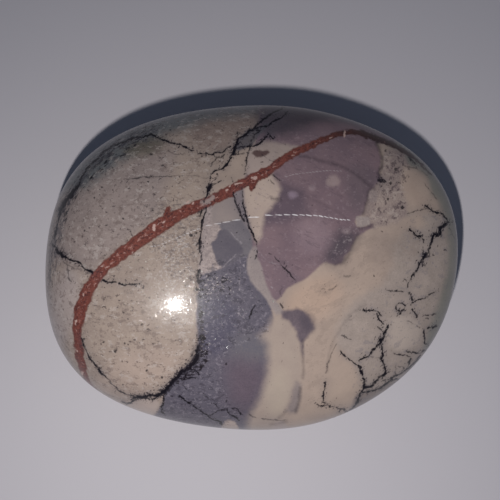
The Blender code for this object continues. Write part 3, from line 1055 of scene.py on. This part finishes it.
@dataclass
class Markings:
    """Works out the markings at every point of the surface and keeps them on the mesh as attributes.

    Distances are in the photograph's pixels. A course is kept as the offset from its nearest point, which
    stays exact between the mesh's points, with its half width and its ink. The half width falls below
    zero a little way off, so nothing shows where two courses are equally near.
    """

    mesh: bpy.types.Mesh
    places: np.ndarray
    reach: float = 16.0
    hold: float = 2.2
    fall: float = 1.5
    clear: float = 9.0
    stops: int = 6
    limit: float = 30.0
    stain_reach: float = 15.0
    stain_fade: float = 3.5
    stain_width: float = 2.0

    def keep(self, name: str, values: np.ndarray) -> str:
        """Store one value, or a row of four, for each point of the mesh.

        Args:
            name: The attribute's name.
            values: The values, one row a point.

        Returns:
            The name.
        """
        single = values.ndim == 1
        made = self.mesh.attributes.new(name, "FLOAT" if single else "FLOAT_COLOR", "POINT")
        made.data.foreach_set("value" if single else "color", values.astype(np.float32).ravel())
        return name

    def near(self, route: Route, margin: float) -> np.ndarray:
        """Find the points of the surface near a route.

        Args:
            route: The route.
            margin: How far round its box they may be.

        Returns:
            The points' rows.
        """
        corners = np.array([point[:2] for point in route])
        low, high = corners.min(axis=0) - margin, corners.max(axis=0) + margin
        return np.flatnonzero(((self.places > low) & (self.places < high)).all(axis=1))

    def inside(self, outline: Route) -> np.ndarray:
        """Work out how far inside an outline each point is, and below zero outside it.

        Args:
            outline: The outline's corners.

        Returns:
            The distances, held to the limit.
        """
        found = np.full(len(self.places), -self.limit)
        near = self.near(outline, self.limit)
        places = self.places[near]
        least = np.full(len(near), self.limit)
        within = np.zeros(len(near), dtype=bool)
        for start, end in zip(outline, outline[1:] + outline[:1]):
            start, run = np.array(start), np.array(end) - np.array(start)
            along = np.clip((places - start) @ run / (run @ run), 0.0, 1.0)
            least = np.minimum(least, np.linalg.norm(places - start - along[:, None] * run, axis=1))
            crosses = (places[:, 1] < start[1]) != (places[:, 1] < start[1] + run[1])
            drop = run[1] if run[1] else 1.0
            within ^= crosses & (places[:, 0] < start[0] + (places[:, 1] - start[1]) / drop * run[0])
        found[near] = np.where(within, least, -least)
        return found

    def spans(self, course: Course) -> list[tuple[np.ndarray, np.ndarray, float, float]]:
        """Break a course into its straight spans.

        Args:
            course: The course.

        Returns:
            For each span, its start, its run and its half widths at the start and the end.
        """
        width = course.width
        corners = []
        for point in course.route:
            width = point[2] if len(point) > 2 else width
            corners.append((np.array(point[:2], dtype=float), width / 2.0))
        pairs = list(zip(corners, corners[1:])) or [(corners[0], corners[0])]
        return [(start, end - start, half, last) for (start, half), (end, last) in pairs]

    def follow(self, course: Course, margin: float) -> Iterator[tuple[np.ndarray, ...]]:
        """Follow a course span by span.

        Args:
            course: The course.
            margin: How far from it the points may be.

        Yields:
            The rows of the points near the course, their offsets from the span, how long those are, and
            the span's half width there.
        """
        near = self.near(course.route, margin)
        for start, run, half, last in self.spans(course):
            gaps = self.places[near] - start
            along = np.clip(gaps @ run / max(run @ run, TINY), 0.0, 1.0)
            gaps = gaps - along[:, None] * run
            yield near, gaps, np.linalg.norm(gaps, axis=1), half + (last - half) * along

    def offsets(self, courses: list[Course]) -> np.ndarray:
        """Find the nearest of some courses at every point.

        Args:
            courses: Courses that keep clear of each other.

        Returns:
            Offset across and down, half width and ink, one row a point.
        """
        found = np.tile([self.reach, self.reach, -1.0, 0.0], (len(self.places), 1))
        least = np.full(len(self.places), self.reach)
        for course in courses:
            for near, gaps, length, wide in self.follow(course, self.reach):
                closer = length < least[near]
                rows = near[closer]
                least[rows] = length[closer]
                off = np.maximum(length - wide - self.hold, 0.0)
                values = np.column_stack([gaps, wide - self.fall * off, np.full(len(near), course.ink)])
                found[rows] = values[closer]
        return found

    def layers(self, courses: tuple[Course, ...]) -> list[list[Course]]:
        """Share courses out so that those in one layer keep clear of each other.

        Args:
            courses: All the courses.

        Returns:
            The layers.
        """
        layers: list[list[Course]] = []
        traced: list[list[np.ndarray]] = []
        steps = np.linspace(0.0, 1.0, self.stops)[:, None]
        for course in courses:
            route = np.vstack([start + steps * run for start, run, _, _ in self.spans(course)])
            for layer, routes in zip(layers, traced):
                gaps = [np.linalg.norm(route[:, None] - other, axis=2).min() for other in routes]
                if min(gaps) > self.clear:
                    layer.append(course)
                    routes.append(route)
                    break
            else:
                layers.append([course])
                traced.append([route])
        return layers

    def keep_courses(self, name: str, courses: tuple[Course, ...]) -> list[str]:
        """Store courses, a layer to an attribute.

        Args:
            name: What the attributes are called, before a number.
            courses: All the courses.

        Returns:
            The attributes' names.
        """
        layers = self.layers(courses)
        log.info("%s: %d courses in %d layers", name, len(courses), len(layers))
        return [self.keep(f"{name}_{place}", self.offsets(layer)) for place, layer in enumerate(layers)]

    def stain(self, courses: tuple[Course, ...]) -> np.ndarray:
        """Work out how far the rock beside some cracks is stained.

        Args:
            courses: The cracks.

        Returns:
            The stain at every point, from 0 to 1.
        """
        found = np.zeros(len(self.places))
        for course in courses:
            for near, _, length, wide in self.follow(course, self.stain_reach):
                fade = np.exp(-np.maximum(length - wide, 0.0) / self.stain_fade)
                full = course.ink * np.minimum(wide / self.stain_width, 1.0)
                found[near] = np.maximum(found[near], fade * full)
        return found


class TumbledJasper:
    """Porcelain jasper, which is clay-rich rock set hard by fine quartz, tumbled to a gloss.

    To the eye it is opaque and even like unglazed china, under a thin, sharp shine. The sizes of its
    noises and grains are in millimetres, and what has to do with courses is in pixels. A pair of limits
    is where something starts and where it is full.
    """

    # Each noise starts this far from the last, and mostly stays inside its middle. Where a detail has
    # two numbers, the second is how strong it is.
    NOISE_SHIFT = 13.0
    NOISE_MIDDLE = (0.32, 0.68)
    FINE_GRAIN = 0.17

    BASE_LIGHT = "#b6a396"
    BASE_DARK = "#a29188"

    # What makes the edges of patches wander and the paths of courses jagged
    JAG_SIZE = 0.8
    JAG_DETAIL = (4.0, 0.65)
    JAG_REACH = 7.0
    SWELL_SIZE = 0.5
    SWELL_LIMITS = (0.35, 1.2)

    # Scattered grains show where a noise passes the level that gives their share
    SCATTER_NOISE = NormalDist(0.5, 0.075)
    SCATTER_DETAIL = (4.0, 0.75)
    SCATTER_GATE = 0.3
    SCATTER_EDGE = 0.03

    # The vein darkens at its edge, and turns brown over these millimetres along the stone
    VEIN_LIGHT = "#8a5046"
    VEIN_DARK = "#56302c"
    VEIN_EDGE = "#673e37"
    VEIN_END = "#43302f"
    VEIN_JAG = 0.95
    VEIN_LIMITS = (-1.1, 0.8)
    VEIN_EDGE_LIMITS = (-0.5, 2.0)
    VEIN_END_LIMITS = (3.0, 13.0)
    VEIN_HEART_LIMITS = (0.0, 3.0)
    VEIN_SPECKS = Grains("#38272a", (0.6, 0.3), 0.16, 35.0, 0.65)
    VEIN_GRAINS = Grains("#b58d84", (0.5, 0.3), 0.10, 30.0, 0.7)

    # Beside the cracks are a grey stain and a fringe of fine black growths
    STAIN = "#55545f"
    STAIN_STRENGTH = 0.8
    FRINGE = "#28222a"
    FRINGE_SIZE = (0.34, 0.2)
    FRINGE_TURN = 60.0
    FRINGE_DETAIL = 3.0
    FRINGE_REACH = 0.26
    FRINGE_LIMITS = (0.68, 0.76)
    FRINGE_STRENGTH = 0.85

    # The courses, each kind drawn in its own way
    ISLAND = Drawing("vein_island", "#a1908c", VEIN_ISLAND, jag=0.6, soft=1.2)
    FLECK = Drawing("fleck", "#bfa39b", FLECKS, jag=0.8, soft=0.6)
    SHADE = Drawing("shade", "#28222a", SHADES, jag=0.5, soft=2.4)
    CRACK = Drawing("crack", "#17131a", CRACKS, jag=0.8, soft=0.6)
    DOT = Drawing("dot", "#17131a", DOTS, jag=1.0, soft=0.7)
    PALE_LINE = Drawing("pale_line", "#a69da3", PALE_LINES, jag=0.8, soft=0.6)
    # The scratches' glint, painted highlight in near-white
    PAINTED_GLINT = Drawing("scratch_glint", "#f2eff2", GLINT_DASHES, jag=0.1, soft=0.45)

    # Quartz under a thin, sharp polish
    IOR = 1.54
    ROUGHNESS = 0.32
    SPECULAR = 0.12
    COAT_WEIGHT = 0.42
    COAT_ROUGHNESS = 0.07

    # The polish's pits are finer on a real stone, and are drawn as coarse as they need to show
    PIT_SIZE = 0.3
    PIT_LIMITS = (0.55, 0.74)
    PIT_DEPTH = 0.0095

    def __init__(self, marks: Markings) -> None:
        """Start the material and the textures that its parts share.

        Args:
            marks: What keeps the markings on the mesh.
        """
        self.marks = marks
        self.seed = 0
        self.material = bpy.data.materials.new("tumbled_porcelain_jasper")
        self.material.use_nodes = True
        self.tree = self.material.node_tree
        self.place = add(self.tree, "TexCoord").outputs["Object"]
        fine = self.spread(self.lumps((self.FINE_GRAIN, self.FINE_GRAIN)), 0.0, 1.0)
        self.mottles = {kind: self.mottle(fine, *kind.value) for kind in Mottle}
        scale = 1.0 / (self.JAG_SIZE * MM)
        detail, strength = self.JAG_DETAIL
        inputs = {"Vector": self.place, "Scale": scale, "Detail": detail, "Roughness": strength}
        rough = add(self.tree, "TexNoise", inputs).outputs["Color"]
        parts = add(self.tree, "SeparateColor", {0: rough}).outputs
        self.wander, across, down = [
            add(self.tree, "Math", {0: part, 1: 0.5}, operation="SUBTRACT").outputs[0] for part in parts
        ]
        offset = add(self.tree, "CombineXYZ", {0: across, 1: down}).outputs[0]
        reach = (self.JAG_REACH, self.JAG_REACH, 0.0)
        self.jag = add(self.tree, "VectorMath", {0: offset, 1: reach}, operation="MULTIPLY").outputs[0]
        self.swell = self.spread(self.lumps((self.SWELL_SIZE, self.SWELL_SIZE)), *self.SWELL_LIMITS)

    def spread(self, noise: Socket, low: float, high: float) -> Socket:
        """Spread the middle of a noise, which is all that it mostly holds, over a wider range.

        Args:
            noise: The noise.
            low: What the middle's low end becomes.
            high: What its high end becomes.

        Returns:
            The spread noise, held between low and high.
        """
        start, end = self.NOISE_MIDDLE
        inputs = {"Value": noise, "From Min": start, "From Max": end, "To Min": low, "To Max": high}
        return add(self.tree, "MapRange", inputs).outputs[0]

    def step(self, value: Socket, start: float, end: float, height: float = 1.0) -> Socket:
        """Rise smoothly from zero as a value goes from a start to an end.

        Args:
            value: The value.
            start: Where the rise starts.
            end: Where it ends.
            height: How high it gets.

        Returns:
            The risen value.
        """
        inputs = {"Value": value, "From Min": start, "From Max": end, "To Max": height}
        return add(self.tree, "MapRange", inputs, interpolation_type="SMOOTHSTEP").outputs[0]

    def lumps(
        self, size: tuple[float, float], turn: float = 0.0, detail: float = 2.0, rough: float = 0.6
    ) -> Socket:
        """Make a noise that is unlike the others.

        Args:
            size: The length and width of its lumps in millimetres.
            turn: Their lie, in degrees from +X.
            detail: How much finer detail it holds.
            rough: How strong that finer detail is.

        Returns:
            The noise, which varies about 0.5.
        """
        self.seed += 1
        start = self.NOISE_SHIFT * MM * self.seed
        long, short = size
        inputs = {
            "Vector": self.place,
            "Location": (start, start, start),
            "Rotation": (0.0, 0.0, radians(turn)),
            "Scale": (long * MM, short * MM, short * MM),
        }
        place = add(self.tree, "Mapping", inputs, vector_type="TEXTURE").outputs[0]
        inputs = {"Vector": place, "Scale": 1.0, "Detail": detail, "Roughness": rough}
        return add(self.tree, "TexNoise", inputs).outputs["Fac"]

    def mottle(self, fine: Socket, size: float, detail: float, grain: float) -> Socket:
        """Make a cloudy pattern.

        Args:
            fine: The finest grain, from 0 to 1.
            size: The size of its lumps in millimetres.
            detail: How much finer detail it holds.
            grain: The share of the finest grain in it.

        Returns:
            The pattern, from 0 to 1.
        """
        coarse = self.spread(self.lumps((size, size), detail=detail), 0.0, 1.0 - grain)
        inputs = {0: fine, 1: grain, 2: coarse}
        return add(self.tree, "Math", inputs, operation="MULTIPLY_ADD").outputs[0]

    def paint(self, under: Colour, colour: Colour, mask: Socket) -> Socket:
        """Lay a colour over what is there, as far as the mask says."""
        return add(self.tree, "Mix", {0: mask, 6: under, 7: colour}, data_type="RGBA").outputs[2]

    def tone(self, kind: Mottle, dark: str, light: str) -> Socket:
        """Vary a colour from dark to light by one of the patterns."""
        return self.paint(linear(dark), linear(light), self.mottles[kind])

    def area(self, name: str, outline: Route) -> Socket:
        """Read how far inside an outline the surface is, in pixels."""
        kept = self.marks.keep(name, self.marks.inside(outline))
        return add(self.tree, "Attribute", attribute_name=kept).outputs["Fac"]

    def beds(self) -> Socket:
        """Lay the patches of the rock over its cream ground, in order.

        Returns:
            The colour.
        """
        colour = self.tone(Mottle.CLOUD, self.BASE_DARK, self.BASE_LIGHT)
        for bed in BEDS:
            inputs = {0: self.wander, 1: bed.wander, 2: self.area(bed.name, bed.outline)}
            edge = add(self.tree, "Math", inputs, operation="MULTIPLY_ADD").outputs[0]
            mask = self.step(edge, -bed.fade, bed.fade, bed.cover)
            colour = self.paint(colour, self.tone(bed.mottle, bed.dark, bed.light), mask)
        return colour

    def scatter(self, colour: Socket, grains: Grains, here: Socket) -> Socket:
        """Scatter the grains of a mineral.

        Args:
            colour: The colour so far.
            grains: The grains.
            here: How fully they are present, from 0 to 1.

        Returns:
            The colour with the grains.
        """
        noise = self.lumps(grains.size, grains.turn, *self.SCATTER_DETAIL)
        inputs = {0: here, 1: self.SCATTER_GATE, 2: noise}
        gated = add(self.tree, "Math", inputs, operation="MULTIPLY_ADD").outputs[0]
        level = self.SCATTER_NOISE.inv_cdf(1.0 - grains.share) + self.SCATTER_GATE
        shown = self.step(gated, level - self.SCATTER_EDGE, level + self.SCATTER_EDGE)
        mask = add(self.tree, "Math", {0: shown, 1: grains.strength}, operation="MULTIPLY").outputs[0]
        return self.paint(colour, linear(grains.colour), mask)

    def sprinkles(self, colour: Socket) -> Socket:
        """Scatter grains through each of their areas.

        Args:
            colour: The colour so far.

        Returns:
            The colour with the grains.
        """
        for sprinkle in SPRINKLES:
            depth = self.area(sprinkle.name, sprinkle.outline)
            colour = self.scatter(colour, sprinkle.grains, self.step(depth, -sprinkle.fade, sprinkle.fade))
        return colour

    def depths(
        self, name: str, courses: tuple[Course, ...], jag: float, even: bool = False
    ) -> list[tuple[Socket, Socket]]:
        """Work out how far inside some courses the surface is.

        Args:
            name: What their attributes are called.
            courses: The courses.
            jag: How strongly their path is jagged.
            even: Whether they keep their width, where a crack swells and pinches.

        Returns:
            For each layer, the depth in pixels and the ink.
        """
        inputs = {0: self.jag, 1: (jag, jag, 0.0)}
        shift = add(self.tree, "VectorMath", inputs, operation="MULTIPLY").outputs[0]
        found = []
        for layer in self.marks.keep_courses(name, courses):
            course = add(self.tree, "Attribute", attribute_name=layer).outputs
            inputs = {0: course["Vector"], 1: (1.0, 1.0, 0.0), 2: shift}
            gap = add(self.tree, "VectorMath", inputs, operation="MULTIPLY_ADD").outputs[0]
            length = add(self.tree, "VectorMath", {0: gap}, operation="LENGTH").outputs["Value"]
            wide = add(self.tree, "SeparateXYZ", {0: course["Vector"]}).outputs["Z"]
            if not even:
                wide = add(self.tree, "Math", {0: wide, 1: self.swell}, operation="MULTIPLY").outputs[0]
            depth = add(self.tree, "Math", {0: wide, 1: length}, operation="SUBTRACT").outputs[0]
            found.append((depth, course["Alpha"]))
        return found

    def draw(self, colour: Socket, drawing: Drawing) -> Socket:
        """Draw some courses.

        Args:
            colour: The colour so far.
            drawing: The courses and how they are drawn.

        Returns:
            The colour with the courses.
        """
        shown = None
        for depth, ink in self.depths(drawing.name, drawing.courses, drawing.jag):
            inputs = {0: self.step(depth, -drawing.soft, drawing.soft), 1: ink}
            inked = add(self.tree, "Math", inputs, operation="MULTIPLY").outputs[0]
            if shown is not None:
                inked = add(self.tree, "Math", {0: shown, 1: inked}, operation="MAXIMUM").outputs[0]
            shown = inked
        return self.paint(colour, linear(drawing.colour), shown)

    def vein(self, colour: Socket) -> Socket:
        """Lay the iron-red vein, which darkens to brown at its edges and where it thins out.

        Args:
            colour: The colour so far.

        Returns:
            The colour with the vein.
        """
        depth = self.depths("vein", (VEIN,), self.VEIN_JAG, even=True)[0][0]
        for lobe, _ in self.depths("vein_lobe", VEIN_LOBES, self.VEIN_JAG, even=True):
            depth = add(self.tree, "Math", {0: depth, 1: lobe}, operation="MAXIMUM").outputs[0]
        shown = self.step(depth, *self.VEIN_LIMITS)
        red = self.tone(Mottle.GRIT, self.VEIN_DARK, self.VEIN_LIGHT)
        red = self.paint(linear(self.VEIN_EDGE), red, self.step(depth, *self.VEIN_EDGE_LIMITS))
        across = add(self.tree, "SeparateXYZ", {0: self.place}).outputs["X"]
        start, end = self.VEIN_END_LIMITS
        red = self.paint(red, linear(self.VEIN_END), self.step(across, start * MM, end * MM))
        colour = self.scatter(self.paint(colour, red, shown), self.VEIN_SPECKS, shown)
        colour = self.scatter(colour, self.VEIN_GRAINS, self.step(depth, *self.VEIN_HEART_LIMITS))
        return self.draw(self.draw(colour, self.ISLAND), self.FLECK)

    def cracks(self, colour: Socket) -> Socket:
        """Lay the healed cracks, with a grey stain and a fringe of fine black growths beside them.

        Args:
            colour: The colour so far.

        Returns:
            The colour with the cracks.
        """
        kept = self.marks.keep("stain", self.marks.stain(CRACKS))
        near = add(self.tree, "Attribute", attribute_name=kept).outputs["Fac"]
        stain = add(self.tree, "Math", {0: near, 1: self.STAIN_STRENGTH}, operation="MULTIPLY").outputs[0]
        inputs = {0: stain, 1: self.mottles[Mottle.BLOTCH]}
        patchy = add(self.tree, "Math", inputs, operation="MULTIPLY").outputs[0]
        colour = self.paint(colour, linear(self.STAIN), patchy)
        growths = self.lumps(self.FRINGE_SIZE, self.FRINGE_TURN, self.FRINGE_DETAIL)
        inputs = {0: near, 1: self.FRINGE_REACH, 2: growths}
        fringe = add(self.tree, "Math", inputs, operation="MULTIPLY_ADD").outputs[0]
        mask = self.step(fringe, *self.FRINGE_LIMITS, self.FRINGE_STRENGTH)
        colour = self.paint(colour, linear(self.FRINGE), mask)
        for drawing in (self.SHADE, self.CRACK, self.DOT):
            colour = self.draw(colour, drawing)
        return colour

    def build(self) -> bpy.types.Material:
        """Put the colours together under the shine.

        Returns:
            The material.
        """
        colour = self.draw(self.sprinkles(self.beds()), self.PALE_LINE)
        colour = self.draw(self.cracks(self.vein(colour)), self.PAINTED_GLINT)
        shader = self.tree.nodes["Principled BSDF"]
        self.tree.links.new(colour, shader.inputs["Base Color"])
        shader.inputs["Roughness"].default_value = self.ROUGHNESS
        shader.inputs["IOR"].default_value = self.IOR
        shader.inputs["Specular IOR Level"].default_value = self.SPECULAR
        shader.inputs["Coat Weight"].default_value = self.COAT_WEIGHT
        shader.inputs["Coat IOR"].default_value = self.IOR
        shader.inputs["Coat Roughness"].default_value = self.COAT_ROUGHNESS
        pits = self.step(self.lumps((self.PIT_SIZE, self.PIT_SIZE)), *self.PIT_LIMITS)
        skin = add(self.tree, "Bump", {"Strength": 1.0, "Distance": self.PIT_DEPTH * MM, "Height": pits})
        self.tree.links.new(skin.outputs["Normal"], shader.inputs["Coat Normal"])
        return self.material


@dataclass(frozen=True)
class Drift:
    """How the beds lean as they run down below the girth, in pixels for each millimetre down.

    A wave makes the lean vary along the stone. It is the axis that it runs along, which is 0 for X and 1
    for Y, its swing, its length in millimetres for each radian, and where it starts, in radians.
    """

    lean: float
    waves: tuple[tuple[int, float, float, float], ...]

    def at(self, points: np.ndarray) -> np.ndarray:
        """Work out the drift at points of the surface.

        Args:
            points: Places in millimetres, one a row.

        Returns:
            Pixels for each millimetre down, one a point.
        """
        drift = np.full(len(points), self.lean)
        for axis, swing, length, start in self.waves:
            drift += swing * np.sin(points[:, axis] / length + start)
        return drift


@dataclass(frozen=True)
class TumbledStone:
    """The one piece: the whole stone."""

    form: PebbleForm = PebbleForm()
    drift_across: Drift = Drift(1.9, ((1, 0.9, 3.7, 0.8), (0, 0.6, 2.9, 0.0)))
    drift_down: Drift = Drift(-1.3, ((0, 0.9, 4.3, 2.0), (1, 0.5, 2.6, 0.0)))

    def traced(self, camera: PhotoCamera, points: np.ndarray) -> np.ndarray:
        """Trace the surface into the photograph, with the beds leaning away below the girth.

        Args:
            camera: The photograph's camera.
            points: The surface's points in millimetres.

        Returns:
            Places in pixels, one a point.
        """
        girth = self.form.belly_drop - self.form.flat_depth
        depth = np.maximum(girth - points[:, 2], 0.0)
        places = camera.pixels(points)
        places[:, 0] += depth * self.drift_across.at(points)
        places[:, 1] += depth * self.drift_down.at(points)
        return places

    def build(self, camera: PhotoCamera) -> bpy.types.Object:
        """Make the stone, mark it and finish it.

        Args:
            camera: The photograph's camera.

        Returns:
            The stone's object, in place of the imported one.
        """
        mesh, points = self.form.build(*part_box("stone"))
        marks = Markings(mesh, self.traced(camera, points))
        mesh.materials.append(TumbledJasper(marks).build())
        stone = bpy.data.objects.new("jasper_stone", mesh)
        bpy.context.scene.collection.objects.link(stone)
        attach(stone, "root")
        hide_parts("stone")
        return stone


def main() -> None:
    """Build the scene piece by piece."""
    logging.basicConfig(level=logging.INFO, format="%(name)s: %(message)s")
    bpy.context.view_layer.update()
    camera = PhotoCamera()
    camera.build()
    Flash().build(camera)
    Room().build()
    table = PaleTable().build()
    bpy.context.scene.view_settings.view_transform = "Standard"
    stone = TumbledStone().build(camera)
    for piece in (table, stone):
        log.info("%s: %d points", piece.name, len(piece.data.vertices))


if __name__ == "__main__":
    main()
